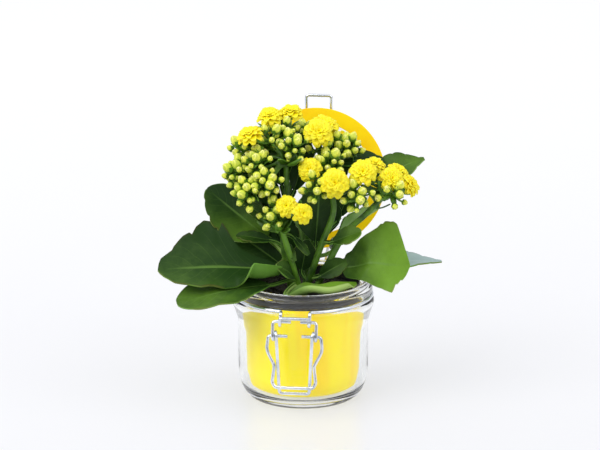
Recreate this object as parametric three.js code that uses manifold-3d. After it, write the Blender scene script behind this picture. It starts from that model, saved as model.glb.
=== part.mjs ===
// A double yellow kalanchoe growing in a short clip-top preserving jar.
// Millimetres, +Z up, origin at the middle of the jar's foot, clasp towards -Y, lid hinge towards +Y.
import * as THREE from 'three';
import { mergeVertices } from 'three/addons/utils/BufferGeometryUtils.js';
import Module from 'manifold-3d';

const wasm = await Module();
wasm.setup();

// Driving dimensions.
const fitGap = 0.4; // left between pieces that nest or touch
const bodyRadius = 46.8; // outside of the jar's straight wall
const jarHeight = 87;
const glassWall = 3.7;
const floorThickness = 5;
const footRadius = 35;
const heelHeight = 22;
const rimBand = 3.2; // height of the plain rim above the collar
const wireDrop = 11.3; // from the rim down to the neck wire
const grooveDepth = 3.3; // from the bead's crest in to the neck groove
const beadOut = 4.2; // how far the bead stands out from the wall
const linerWall = 0.8;
const linerDrop = 12; // from the rim down to the liner's edge
const linerCorner = 13;
const potWall = 0.9;
const potDrop = 1.8;
const potTaper = 5;
const soilDrop = 7;
const soilDome = 2;
const wireDiameter = 2.4;
const eyeClearance = 0.45; // round a pin that turns in a wire eye
const eyeSpan = 10.3; // from the middle to each front eye
const leverWidth = 15.4;
const leverToBail = 10.4; // between the two pivots of the clasp
const leverLength = 52;
const leverTaper = 2;
const leverFootOut = 2; // the lever's foot stands this far in front of the bail's pivot
const bailLength = 36.5;
const bailSideGap = 0.8; // between the bail and the lever, at the bail's shoulders and foot
const bailWaistGap = 0.25; // between them where the bail is narrowest
const bailFootOut = 1.2; // the bail is this much wider at its foot than at its waist
const hingeReach = 11; // hinge axis behind the bead
const hingeRise = 4.4; // hinge axis above the neck wire
const hingeSpan = 12.4;
const hingeLegSpan = 9.4;
const openAngle = 104; // degrees, from shut to resting open
const lidOver = 1.4; // the lid's edge stands out past the rim
const lidEdge = 5.5;
const lidCrown = 10.5;
const plugDepth = 4.2;
const gasketWidth = 10.6;
const gasketThickness = 2;
const gasketOver = 5; // the gasket stands out past the rim
const loopReach = 9;
const loopSpan = 9.2;
const plantTurn = 6.3; // degrees about +Z
const plantLayoutRadius = 46.8; // the jar's wall that the plant's places below are laid out for
const leafThickness = 1.5;
const stemRadius = 2.6;
const branchRadius = 1.3;
const pedicelRadius = 0.6;
const budReach = 11;
const flowerStalk = 13;

// Places that follow from them.
const deg = THREE.MathUtils.degToRad;
const wireRadius = wireDiameter / 2;
const wireHeight = jarHeight - wireDrop;
const beadRadius = bodyRadius + beadOut;
const grooveRadius = beadRadius - grooveDepth;
const neckWireRadius = grooveRadius + fitGap + wireRadius;
const innerRadius = bodyRadius - glassWall;
const linerRadius = innerRadius - 3 * fitGap;
const potRadius = linerRadius - linerWall - fitGap;
const eyeRadius = wireDiameter + eyeClearance; // pin centre to the middle of the eye's strand
const eyeBack = beadRadius + fitGap + wireRadius;
const leverPivot = new THREE.Vector3(0, -eyeBack - eyeRadius, wireHeight - 5.1);
const bailPivot = leverPivot.clone().add(new THREE.Vector3(0, -0.3, -leverToBail));
const leverStep = wireDiameter + fitGap; // one turn of the lever's coil moves the wire this far in
const bailTopWidth = leverWidth + wireDiameter + bailSideGap;
const bailWaist = leverWidth - leverStep - leverTaper / 2 + wireDiameter + bailWaistGap;
const bailFootWidth = bailWaist + bailFootOut;
const bailLean = leverFootOut + wireDiameter + bailSideGap; // its foot is this far in front of its pivot
const hingeAxis = new THREE.Vector3(0, beadRadius + hingeReach, wireHeight + hingeRise);
const gasketRadius = bodyRadius + gasketOver;
const plantSpread = bodyRadius / plantLayoutRadius;

const part = new THREE.Group();
const vec = (x, y, z) => new THREE.Vector3(x, y, z);

/** Adds one named piece of the object to a group. */
function addPiece(group, name, geometry, material) {
  const mesh = new THREE.Mesh(geometry, material);
  mesh.name = name;
  group.add(mesh);
  return mesh;
}

function finish(name, color, roughness, metalness = 0) {
  return new THREE.MeshStandardMaterial({ name, color, roughness, metalness });
}

const finishes = {
  glass: finish('clear_glass', 0xe4eceb, 0.05),
  liner: finish('yellow_liner', 0xffe208, 0.45),
  pot: finish('dark_plastic', 0x2b2d33, 0.5),
  soil: finish('potting_soil', 0x231912, 1),
  wire: finish('zinc_wire', 0xc9cdd2, 0.3, 1),
  gasket: finish('yellow_rubber', 0xffd800, 0.5),
  leaf: finish('leaf_green', 0x3c6a26, 0.4),
  stem: finish('stem_green', 0x5f8a35, 0.5),
  bud: finish('bud_green', 0xd6de5c, 0.5),
  petal: finish('petal_yellow', 0xffe00a, 0.5),
};

// ---- joining solids ----

function toSolid(geometry) {
  const bare = new THREE.BufferGeometry();
  bare.setAttribute('position', geometry.getAttribute('position'));
  bare.setIndex(geometry.index);
  const merged = mergeVertices(bare, 1e-4);
  return new wasm.Manifold(new wasm.Mesh({
    numProp: 3,
    vertProperties: new Float32Array(merged.getAttribute('position').array),
    triVerts: new Uint32Array(merged.index.array),
  }));
}

function join(geometries) {
  const whole = geometries.map(toSolid).reduce((sum, next) => sum.add(next));
  const { vertProperties, triVerts } = whole.getMesh();
  const geometry = new THREE.BufferGeometry();
  geometry.setAttribute('position', new THREE.BufferAttribute(vertProperties, 3));
  geometry.setIndex(new THREE.BufferAttribute(triVerts, 1));
  return geometry;
}

// ---- turned pieces ----

/** A closed ring or bowl about +Z from a profile of [radius, height] points, walked with solid on the left. */
function turned(profile, segments = 28) {
  const points = profile.map(([r, z]) => new THREE.Vector2(r, z));
  return new THREE.LatheGeometry(points, segments).rotateX(Math.PI / 2);
}

/** Points of a quarter ellipse from angle `from` to `to`, in degrees. */
function arc(centre, radii, from, to, steps) {
  return Array.from({ length: steps + 1 }, (_, i) => {
    const angle = deg(from + ((to - from) * i) / steps);
    return [centre[0] + radii[0] * Math.cos(angle), centre[1] + radii[1] * Math.sin(angle)];
  });
}

function jarProfile() {
  const collarTop = jarHeight - rimBand;
  const halfGroove = wireRadius + fitGap;
  const innerHeel = 10;
  return [
    [0, 0],
    ...arc([footRadius, heelHeight], [bodyRadius - footRadius, heelHeight], -90, 0, 6),
    [bodyRadius, wireHeight - 19],
    [beadRadius - 1, wireHeight - 8],
    [beadRadius, wireHeight - 5],
    [beadRadius - 0.5, wireHeight - 2.4],
    [grooveRadius, wireHeight - halfGroove],
    [grooveRadius, wireHeight + halfGroove],
    [beadRadius - 1.3, wireHeight + halfGroove + 0.8],
    [beadRadius - 1.2, collarTop - 1.6],
    [bodyRadius, collarTop],
    [bodyRadius, jarHeight - 0.8],
    [bodyRadius - 0.8, jarHeight],
    [innerRadius + 0.8, jarHeight],
    [innerRadius, jarHeight - 0.8],
    ...arc([innerRadius - innerHeel, floorThickness + innerHeel], [innerHeel, innerHeel], 0, -90, 3),
    [0, floorThickness],
  ];
}

/** A thin bowl: outer radius at the top, radius at the bottom, corner radius, floor and edge heights. */
function bowlProfile(top, bottom, corner, floor, edge, wall) {
  const outer = arc([bottom - corner, floor + corner], [corner, corner], -90, 0, 3);
  const inner = arc([bottom - corner, floor + corner], [corner - wall, corner - wall], 0, -90, 3);
  return [[0, floor], ...outer, [top, edge], [top - wall, edge], ...inner, [0, floor + wall]];
}

function addJar() {
  addPiece(part, 'glass_jar', turned(jarProfile(), 32), finishes.glass);
  const linerFloor = floorThickness + fitGap;
  const liner = bowlProfile(linerRadius, linerRadius, linerCorner, linerFloor, jarHeight - linerDrop, linerWall);
  addPiece(part, 'yellow_liner', turned(liner), finishes.liner);
  const potFloor = linerFloor + linerWall + fitGap;
  const potBottom = potRadius - potTaper;
  const potCorner = 8;
  const pot = bowlProfile(potRadius, potBottom, potCorner, potFloor, jarHeight - potDrop, potWall);
  addPiece(part, 'nursery_pot', turned(pot), finishes.pot);
  addPiece(part, 'soil', turned(soilProfile(potBottom, potFloor, potCorner), 24), finishes.soil);
}

function soilProfile(potBottom, potFloor, potCorner) {
  const inset = potWall + fitGap;
  const floor = potFloor + inset;
  const top = jarHeight - soilDrop;
  const slope = (potRadius - potBottom) / (jarHeight - potDrop - potFloor - potCorner);
  const edgeRadius = potRadius - inset - 0.3 - slope * (jarHeight - potDrop - top);
  return [
    [0, floor],
    [potBottom - inset - potCorner * 0.7, floor],
    [potBottom - inset - 0.5, floor + potCorner * 0.8],
    [edgeRadius, top - soilDome],
    [edgeRadius * 0.6, top - soilDome * 0.4],
    [0, top],
  ];
}

// ---- bent wire ----

/** A route of straight runs whose steps fall on its own points. */
class WireRoute extends THREE.Curve {
  constructor(points) {
    super();
    this.points = points;
  }

  getUtoTmapping(u) {
    return u;
  }

  getPoint(t) {
    return this.points[Math.round(t * (this.points.length - 1))].clone();
  }

  getTangent(t) {
    const i = Math.round(t * (this.points.length - 1));
    const run = (from, to) => this.points[to].clone().sub(this.points[from]).normalize();
    const last = this.points.length - 1;
    const into = run(Math.max(i - 1, 0), Math.max(i, 1));
    const outOf = run(Math.min(i, last - 1), Math.min(i + 1, last));
    return into.add(outOf).normalize();
  }
}

/** Rounds the sharp corners of a route and leaves its gentle ones. */
function bend(corners, radius = 2, steps = 3) {
  return corners.flatMap((corner, i) => {
    if (i === 0 || i === corners.length - 1) return [corner];
    const back = corners[i - 1].clone().sub(corner);
    const ahead = corners[i + 1].clone().sub(corner);
    if (back.angleTo(ahead) > deg(135)) return [corner];
    const start = corner.clone().addScaledVector(back.clone().normalize(), Math.min(radius, back.length() * 0.45));
    const end = corner.clone().addScaledVector(ahead.clone().normalize(), Math.min(radius, ahead.length() * 0.45));
    return new THREE.QuadraticBezierCurve3(start, corner, end).getPoints(steps);
  });
}

function tube(points, radius, sides = 6) {
  const section = new THREE.Shape(Array.from({ length: sides }, (_, i) => {
    const angle = (2 * Math.PI * i) / sides;
    return new THREE.Vector2(radius * Math.cos(angle), radius * Math.sin(angle));
  }));
  return new THREE.ExtrudeGeometry(section, {
    steps: points.length - 1,
    extrudePath: new WireRoute(points),
  });
}

const wire = (points) => tube(points, wireRadius, 6);

/** Points on a level circle, from one bearing to another in degrees, 0 at +X. */
function ringRun(radius, height, from, to, steps) {
  return arc([0, 0], [radius, radius], from, to, steps).map(([x, y]) => vec(x, y, height));
}

/** A hairpin round a pin that lies along X: out along one side, round the pin, back along the other. */
function eye(x, pin, inward, from, to, steps = 6) {
  return arc([0, 0], [eyeRadius, eyeRadius], from, to, steps)
    .map(([a, b]) => vec(x, pin.y + inward * a, pin.z + b));
}

/** One wire round the groove, bent into two eyes and a bar at the clasp and again at the hinge. */
function addNeckWire() {
  const frontBearing = THREE.MathUtils.radToDeg(Math.asin(eyeSpan / neckWireRadius));
  const backBearing = THREE.MathUtils.radToDeg(Math.asin(hingeSpan / neckWireRadius));
  const barHeight = leverPivot.z + 3.2;
  const barY = leverPivot.y - eyeRadius;
  const frontEye = (x) => [
    vec(x, leverPivot.y + eyeRadius, wireHeight),
    ...eye(x, leverPivot, -1, 180, 360),
    vec(x, barY, barHeight),
  ];
  const hingeY = hingeAxis.y;
  const hingeBarY = hingeY - eyeRadius - 3;
  const backEye = (x) => [
    vec(x, neckWireRadius + 1, wireHeight),
    vec(x, hingeY - 3, hingeAxis.z - eyeRadius),
    ...eye(x, hingeAxis, 1, -90, 90),
    vec(x, hingeBarY, hingeAxis.z + eyeRadius),
  ];
  const leftEnd = frontEye(-eyeSpan).reverse();
  const rightEnd = frontEye(eyeSpan);
  rightEnd.pop(); // this end stops short, under the bar
  const route = [
    vec(eyeSpan + wireRadius, barY, barHeight),
    ...leftEnd,
    ...ringRun(neckWireRadius, wireHeight, 270 - frontBearing, 90 + backBearing, 11),
    ...backEye(-hingeSpan),
    ...backEye(hingeSpan).reverse(),
    ...ringRun(neckWireRadius, wireHeight, 90 - backBearing, -90 + frontBearing, 11),
    ...rightEnd,
  ];
  addPiece(part, 'neck_wire', wire(bend(route)), finishes.wire);
}

/** Straight-legged lever: pins in the neck eyes, shoulders, one-turn coils and a long U. */
function addLever() {
  const coilRadius = eyeRadius;
  const footZ = leverPivot.z - leverLength;
  const coil = (side) => Array.from({ length: 10 }, (_, i) => {
    const angle = deg(180 + i * 40);
    const x = side * (leverWidth - leverStep * ((i + 0.5) / 10));
    return vec(x, bailPivot.y + coilRadius * Math.cos(angle), bailPivot.z + coilRadius * Math.sin(angle));
  });
  const half = (side, pinEnd) => [
    vec(pinEnd, leverPivot.y, leverPivot.z),
    vec(side * leverWidth, leverPivot.y, leverPivot.z),
    ...coil(side),
    vec(side * (leverWidth - leverStep - leverTaper), bailPivot.y - leverFootOut, footZ),
  ];
  const route = [...half(-1, -2.5), ...half(1, 4).reverse()];
  addPiece(part, 'clasp_lever', wire(bend(route)), finishes.wire);
}

/** Curved bail that hooks the lid: pins in the lever's coils, bulged sides and a straight foot. */
function addBail() {
  const at = (x, drop) => vec(x, bailPivot.y - (bailLean * drop) / bailLength, bailPivot.z - drop);
  const half = (side) => [
    at(side * 5, 0),
    at(side * bailTopWidth, 0),
    at(side * (bailTopWidth + 0.9), bailLength * 0.22),
    at(side * bailTopWidth, bailLength * 0.33),
    at(side * (bailWaist + 0.6), bailLength * 0.53),
    at(side * bailWaist, bailLength * 0.62),
    at(side * bailFootWidth, bailLength * 0.9),
    at(side * (bailFootWidth - 2), bailLength),
  ];
  addPiece(part, 'clasp_bail', wire(bend([...half(-1), ...half(1).reverse()])), finishes.wire);
}

// ---- lid ----

/** The lid is drawn shut, about the hinge axis, and its group is turned open. */
function addLid() {
  const lid = new THREE.Group();
  lid.position.copy(hingeAxis);
  lid.rotation.x = -deg(openAngle);
  part.add(lid);
  const seat = jarHeight + gasketThickness + 2 * fitGap - hingeAxis.z;
  const centreY = -hingeAxis.y;
  const onLid = (geometry) => geometry.translate(0, centreY, seat);
  const lidRadius = bodyRadius + lidOver;
  const plugRadius = gasketRadius - gasketWidth - fitGap;
  const grooveIn = 2;
  const glass = turned([
    [0, -plugDepth + 2.4],
    [plugRadius - 6, -plugDepth + 2.2],
    [plugRadius - 3.5, -plugDepth],
    [plugRadius - 0.8, -plugDepth],
    [plugRadius, 0],
    [lidRadius - 0.6, 0],
    [lidRadius, 0.8],
    [lidRadius, lidEdge - 1.6],
    [lidRadius - grooveIn, lidEdge - 0.6],
    [lidRadius - grooveIn, lidEdge + 2.4],
    [lidRadius - grooveIn - 3, lidCrown - 1],
    [lidRadius - grooveIn - 8, lidCrown],
    [0, lidCrown - 1.5],
  ], 32);
  addPiece(lid, 'lid_glass', onLid(glass), finishes.glass);
  const gasketTop = -fitGap;
  const gasketFoot = gasketTop - gasketThickness;
  const gasket = turned([
    [gasketRadius - gasketWidth, gasketTop],
    [gasketRadius - gasketWidth, gasketFoot],
    [gasketRadius, gasketFoot],
    [gasketRadius, gasketTop],
    [gasketRadius - gasketWidth, gasketTop],
  ], 32);
  addPiece(lid, 'gasket', onLid(gasket), finishes.gasket);
  addLidWire(lid, lidRadius - grooveIn + fitGap + wireRadius, seat + lidEdge + 0.9, centreY);
}

/** One wire round the lid with a catch loop in front and two legs down to pins in the hinge eyes. */
function addLidWire(lid, radius, height, centreY) {
  const bearing = (span) => THREE.MathUtils.radToDeg(Math.asin(span / radius));
  const ring = (from, to) => ringRun(radius, height, from, to, 12).map((p) => p.setY(p.y + centreY));
  const catchY = centreY - gasketRadius - loopReach;
  const legY = centreY + radius + 2.4;
  const halfBack = (side) => [
    vec(side * (hingeSpan + 2.6), 0, 0),
    vec(side * hingeLegSpan, 0, 0),
    vec(side * hingeLegSpan, legY + 1.5, height - 1),
    vec(side * hingeLegSpan, legY, height),
  ];
  const route = [
    ...halfBack(-1),
    ...ring(90 + bearing(hingeLegSpan + 3), 270 - bearing(loopSpan)),
    vec(-loopSpan, catchY, height - 3),
    vec(loopSpan, catchY, height - 3),
    ...ring(-90 + bearing(loopSpan), 90 - bearing(hingeLegSpan + 3)),
    ...halfBack(1).reverse(),
  ];
  addPiece(lid, 'lid_wire', wire(bend(route)), finishes.wire);
}

// ---- plant ----
// It is laid out looking along +Y of its own group: x right, y away, z up from the jar's rim.

const plant = new THREE.Group();
plant.rotation.z = deg(plantTurn);
plant.position.z = jarHeight;
part.add(plant);

const place = ([x, y, z]) => vec(x * plantSpread, y * plantSpread, z);
const soilTop = -soilDrop;

// Main stems: points from the soil up; heads fork from the last point of the stem they name.
const stems = {
  left: [[-9, 0, soilTop + 1], [-14, -3, 26], [-12, -4, 62], [-12, -4, 84]],
  front: [[-3, -8, soilTop + 1], [-9, -13, 18], [-15, -18, 40]],
  centre: [[3, 1, soilTop + 1], [12, -1, 22], [21, -5, 48], [21, -5, 62]],
  right: [[10, 0, soilTop + 1], [28, -3, 31], [44, -5, 48], [58, -3, 62]],
  back: [[2, 9, soilTop + 1], [4, 20, 40], [4, 24, 74]],
};

// Heads: the stem they fork from, the middle of the bloom or bud dome, the way it faces, its size.
// A flower's size is its radius; a spray's is its number of buds.
const flowers = {
  top_left: ['left', [-24, 10, 117], [-0.1, -0.45, 0.9], 9],
  top_mid: ['left', [-9, 18, 118], [0, -0.2, 1], 9],
  upper_left: ['left', [-38, -4, 107], [-0.25, -0.25, 0.93], 9.5],
  upper_right: ['centre', [11, 2, 107], [0.15, -0.75, 0.65], 10.5],
  upper_back: ['back', [16, 22, 108], [0.2, -0.3, 0.9], 10],
  middle: ['centre', [4, -14, 84], [-0.3, -0.85, 0.4], 8.5],
  front: ['centre', [22, -25, 77], [0.05, -0.9, 0.4], 10.5],
  right_front: ['right', [42, -15, 82], [0, -0.8, 0.6], 10],
  right_top: ['right', [51, 6, 83], [0.2, -0.25, 0.95], 8],
  right_mid: ['right', [63, -10, 76], [0.3, -0.8, 0.55], 9],
  right_back: ['right', [68, 9, 77], [0.4, -0.3, 0.85], 8],
  right_edge: ['right', [77, -4, 70], [0.75, -0.45, 0.5], 8],
  low_left: ['front', [-12, -28, 61], [-0.2, -0.85, 0.45], 8],
  low_right: ['front', [0, -33, 57], [0.3, -0.85, 0.35], 7.5],
  back_left: ['back', [-22, 38, 96], [-0.3, 0.7, 0.65], 10],
  back_right: ['back', [26, 40, 92], [0.3, 0.7, 0.6], 10],
};
const sprays = {
  top_left: ['left', [-23, -3, 110], [0, -0.4, 0.9], 4],
  top_mid: ['left', [-7, -8, 102], [0.1, -0.7, 0.7], 8],
  upper_left: ['left', [-47, 9, 99], [-0.7, 0.1, 0.7], 7],
  left_outer: ['left', [-53, -6, 83], [-0.85, -0.2, 0.5], 9],
  left_inner: ['left', [-35, -13, 92], [-0.4, -0.6, 0.7], 9],
  left_low: ['left', [-45, -21, 68], [-0.7, -0.7, 0.1], 8],
  left_front: ['left', [-26, -23, 75], [-0.1, -0.95, 0.2], 8],
  low_left: ['front', [-25, -25, 53], [-0.6, -0.7, 0.3], 6],
  centre: ['centre', [20, -6, 92], [0.1, -0.45, 0.9], 9],
  centre_low: ['centre', [7, -23, 71], [-0.3, -0.9, 0.1], 6],
  right_low: ['right', [37, -26, 65], [-0.1, -0.95, 0.1], 7],
  right_outer: ['right', [65, -20, 63], [0.2, -0.95, -0.1], 6],
  back_mid: ['back', [34, 16, 99], [0.4, -0.2, 0.9], 9],
  back_top: ['back', [2, 36, 104], [0, 0.5, 0.85], 8],
};

/** A pedicel with a swelling on its end, along +Y from its foot. */
function budStalk(length, size) {
  const profile = [[0, 0], [pedicelRadius, 0], [pedicelRadius, length - size], [size, length + size * 0.3],
    [0, length + size * 2]];
  return new THREE.LatheGeometry(profile.map(([r, y]) => new THREE.Vector2(r, y)), 4);
}

function aimed(geometry, foot, direction) {
  const turn = new THREE.Quaternion().setFromUnitVectors(vec(0, 1, 0), direction.clone().normalize());
  return geometry.applyQuaternion(turn).translate(foot.x, foot.y, foot.z);
}

/** The buds' directions: a golden-angle spread over a dome about `facing`. */
function domeDirections(facing, count, spread = 66) {
  const turn = new THREE.Quaternion().setFromUnitVectors(vec(0, 0, 1), facing);
  return Array.from({ length: count }, (_, i) => {
    const lean = deg(spread) * Math.sqrt((i + 0.3) / count);
    const bearing = i * 2.39996;
    return vec(Math.sin(lean) * Math.cos(bearing), Math.sin(lean) * Math.sin(bearing), Math.cos(lean))
      .applyQuaternion(turn);
  });
}

/** Foot of a head: where its own stalks meet, under the middle of its dome. */
const headFoot = ([, middle, facing], reach) => place(middle)
  .addScaledVector(vec(...facing).normalize(), -reach);

function addSprays() {
  for (const [name, spray] of Object.entries(sprays)) {
    const foot = headFoot(spray, budReach);
    const facing = vec(...spray[2]).normalize();
    const hub = new THREE.IcosahedronGeometry(branchRadius * 1.2, 0).translate(foot.x, foot.y, foot.z);
    const buds = domeDirections(facing, spray[3]).map((way, i) => {
      const size = 2.9 - 0.5 * (i % 3);
      return aimed(budStalk(budReach - 1 + (i % 2) * 2, size), foot, way);
    });
    addPiece(plant, `bud_spray_${name}`, join([hub, ...buds]), finishes.bud);
  }
}

function addFlowers() {
  for (const [name, flower] of Object.entries(flowers)) {
    const radius = flower[3];
    const profile = [[0, 0], [pedicelRadius, 0], [pedicelRadius, flowerStalk - 4], [radius * 0.35, flowerStalk - 3],
      [radius, flowerStalk - 0.5], [radius * 0.9, flowerStalk + 1.5], [radius * 0.5, flowerStalk + 3.2],
      [0, flowerStalk + 3.6]];
    const turnedFlower = new THREE.LatheGeometry(profile.map(([r, y]) => new THREE.Vector2(r, y)), 8);
    const bloom = aimed(turnedFlower, headFoot(flower, flowerStalk), vec(...flower[2]));
    addPiece(plant, `flower_${name}`, bloom, finishes.petal);
  }
}

/** A branch from a fork to just under a head's foot: it leaves upwards and arrives the way the head faces. */
function branch(fork, head, reach) {
  const facing = vec(...head[2]).normalize();
  const end = headFoot(head, reach).addScaledVector(facing, -branchRadius * 1.2 - fitGap);
  const pull = 0.4 * fork.distanceTo(end);
  const leaving = fork.clone().add(vec(0, 0, pull));
  const arriving = end.clone().addScaledVector(facing, -pull);
  return tube(new THREE.CubicBezierCurve3(fork, leaving, arriving, end).getPoints(4), branchRadius, 5);
}

function addStems() {
  for (const [name, route] of Object.entries(stems)) {
    const points = new THREE.CatmullRomCurve3(route.map(place)).getPoints(6);
    const fork = points.at(-1);
    const branches = [[flowers, flowerStalk], [sprays, budReach]].flatMap(([heads, reach]) =>
      Object.values(heads).filter(([from]) => from === name).map((head) => branch(fork, head, reach)));
    const knot = new THREE.IcosahedronGeometry(stemRadius, 0).translate(fork.x, fork.y, fork.z);
    addPiece(plant, `stem_${name}`, join([tube(points, stemRadius, 6), knot, ...branches]), finishes.stem);
  }
}

// Leaves: foot, tip, width, where it is widest, the way the upper face looks, rise of the middle,
// fold along the midrib.
const leaves = {
  left_big: [[-19, -7, 8], [-103, -28, 14], 72, 0.36, [0.05, -0.6, 0.8], 4, 0.6],
  left_low: [[-12, -14, 0], [-90, -38, -5], 41, 0.42, [0, -0.25, 0.97], 7, 0.1],
  left_high: [[-17, 8, 20], [-71, 11, 65], 38, 0.45, [-0.4, -0.75, 0.5], 2, 0.3],
  left_small: [[-20, 1, 31], [-51, 2, 38], 15, 0.45, [-0.2, -0.6, 0.75], 1, 0.2],
  left_narrow: [[-19, -8, 40], [-44, -10, 61], 10, 0.4, [-0.3, -0.8, 0.4], 1, 0.2],
  middle: [[8, 8, 16], [12, 6, 67], 30, 0.5, [0.1, -0.95, 0.2], 3, 0.3],
  mouth: [[32, -13, 1], [-18, -33, 0], 20, 0.45, [0.2, 0.3, 0.93], 1, -0.3],
  right_small: [[17, -10, 28], [41, -17, 39], 14, 0.45, [0.1, -0.6, 0.7], 1, 0.2],
  right_big: [[20, -2, 7], [76, -14, 13], 57, 0.66, [0.2, -0.8, 0.55], 6, 0.2],
  right_far: [[18, 12, 2], [100, 22, 6], 28, 0.45, [0, -0.15, 1], 3, 0.15],
  right_high: [[44, 21, 62], [86, 32, 80], 25, 0.45, [0.2, -0.5, 0.84], 3, 0.25],
  back_left: [[-13, 14, 6], [-66, 42, 30], 44, 0.42, [-0.3, 0.5, 0.8], 5, 0.3],
  back_middle: [[0, 18, 6], [-6, 54, 34], 38, 0.42, [0, 0.5, 0.85], 5, 0.3],
  back_right: [[16, 18, 8], [54, 48, 38], 40, 0.42, [0.3, 0.6, 0.75], 4, 0.3],
};

/** Half the blade's width at a share of its length: a narrow stalk, then an egg-shaped blade. */
function bladeHalfWidth(share, width, widest) {
  const stalk = 0.16;
  if (share < stalk) return 1.6;
  const along = ((share - stalk) / (1 - stalk)) ** (Math.log(0.5) / Math.log(widest));
  return 1.2 + (width / 2 - 1.2) * Math.sin(Math.PI * along) ** 0.85;
}

/** A box of unit sides bent into a leaf. */
function leafGeometry([foot, tip, width, widest, face, rise, fold]) {
  const from = place(foot);
  const axis = place(tip).sub(from);
  const ahead = axis.clone().normalize();
  const side = vec(...face).cross(ahead).normalize();
  const up = ahead.clone().cross(side);
  const geometry = new THREE.BoxGeometry(1, 1, 1, 9, 4, 1);
  const position = geometry.getAttribute('position');
  for (let i = 0; i < position.count; i += 1) {
    const share = position.getX(i) + 0.5;
    const across = position.getY(i) * 2;
    const half = bladeHalfWidth(Math.min(Math.max(share, 0), 0.995), width, widest);
    const lift = rise * Math.sin(Math.PI * share) + half * Math.sin(fold) * Math.abs(across) ** 1.3
      + position.getZ(i) * leafThickness;
    const point = from.clone().addScaledVector(axis, share)
      .addScaledVector(side, half * across * Math.cos(fold)).addScaledVector(up, lift);
    position.setXYZ(i, point.x, point.y, point.z);
  }
  return geometry;
}

function addLeaves() {
  for (const [name, leaf] of Object.entries(leaves)) {
    addPiece(plant, `leaf_${name}`, leafGeometry(leaf), finishes.leaf);
  }
}

addJar();
addNeckWire();
addLever();
addBail();
addLid();
addStems();
addLeaves();
addFlowers();
addSprays();

export default part;
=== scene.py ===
import random
from math import asin, cos, degrees, exp, log, pi, radians, sin, sqrt

import bpy
from mathutils import Matrix, Vector, noise


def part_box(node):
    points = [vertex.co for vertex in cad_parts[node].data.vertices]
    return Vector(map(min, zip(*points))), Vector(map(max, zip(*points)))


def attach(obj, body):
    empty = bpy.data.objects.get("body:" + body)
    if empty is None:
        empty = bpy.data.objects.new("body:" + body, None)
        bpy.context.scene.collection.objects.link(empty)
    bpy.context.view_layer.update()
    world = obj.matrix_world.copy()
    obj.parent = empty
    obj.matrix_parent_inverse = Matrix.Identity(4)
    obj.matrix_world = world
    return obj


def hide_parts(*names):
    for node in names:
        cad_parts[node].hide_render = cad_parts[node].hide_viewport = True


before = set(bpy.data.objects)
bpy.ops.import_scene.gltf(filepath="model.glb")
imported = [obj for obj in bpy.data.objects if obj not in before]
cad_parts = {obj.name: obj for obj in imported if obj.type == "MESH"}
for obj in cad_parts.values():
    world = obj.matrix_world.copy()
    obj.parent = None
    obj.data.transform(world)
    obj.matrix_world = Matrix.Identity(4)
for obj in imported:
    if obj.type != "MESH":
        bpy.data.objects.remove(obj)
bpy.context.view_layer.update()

mm = 0.001
bpy.ops.object.select_all(action="DESELECT")

# Camera: degrees round and up from the front, metres away, and how far the view is moved.

camera = dict(azimuth=6.3, elevation=18.5, distance=2.5, lens=207, right=-0.0024, up=0.1215)


def addCamera(azimuth, elevation, distance, lens, right, up):
    a, e = radians(azimuth), radians(elevation)
    back = Vector((sin(a) * cos(e), -cos(a) * cos(e), sin(e)))
    rightward = Vector((cos(a), sin(a), 0))
    target = rightward * right + back.cross(rightward) * up
    bpy.ops.object.camera_add(location=back * distance)
    made = bpy.context.object
    made.rotation_euler = (target - made.location).to_track_quat("-Z", "Y").to_euler()
    made.data.lens = lens
    made.data.clip_end = 30
    bpy.context.scene.camera = made


addCamera(**camera)
print("camera placed")

# Finishes


def rgb(*levels):  # red, green and blue from 0 to 255
    shares = [level / 255 for level in levels]
    return (*[c / 12.92 if c <= 0.04045 else ((c + 0.055) / 1.055) ** 2.4 for c in shares], 1)


class Link:  # an output that takes part in sums
    def __init__(self, finish, socket):
        self.finish = finish
        self.socket = socket

    def maths(self, operation, *values):
        return self.finish.node("ShaderNodeMath", {"operation": operation}, dict(enumerate(values)))

    def __add__(self, other):
        return self.maths("ADD", self, other)

    def __mul__(self, other):
        return self.maths("MULTIPLY", self, other)

    def __sub__(self, other):
        return self.maths("SUBTRACT", self, other)

    def __rsub__(self, other):
        return self.maths("SUBTRACT", other, self)

    def __abs__(self):
        return self.maths("ABSOLUTE", self)

    __radd__ = __add__
    __rmul__ = __mul__

    def step(self, low, high, start=0.0, end=1.0):
        values = {0: self, 1: low, 2: high, 3: start, 4: end}
        return self.finish.node("ShaderNodeMapRange", {"interpolation_type": "SMOOTHSTEP"}, values)


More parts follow.
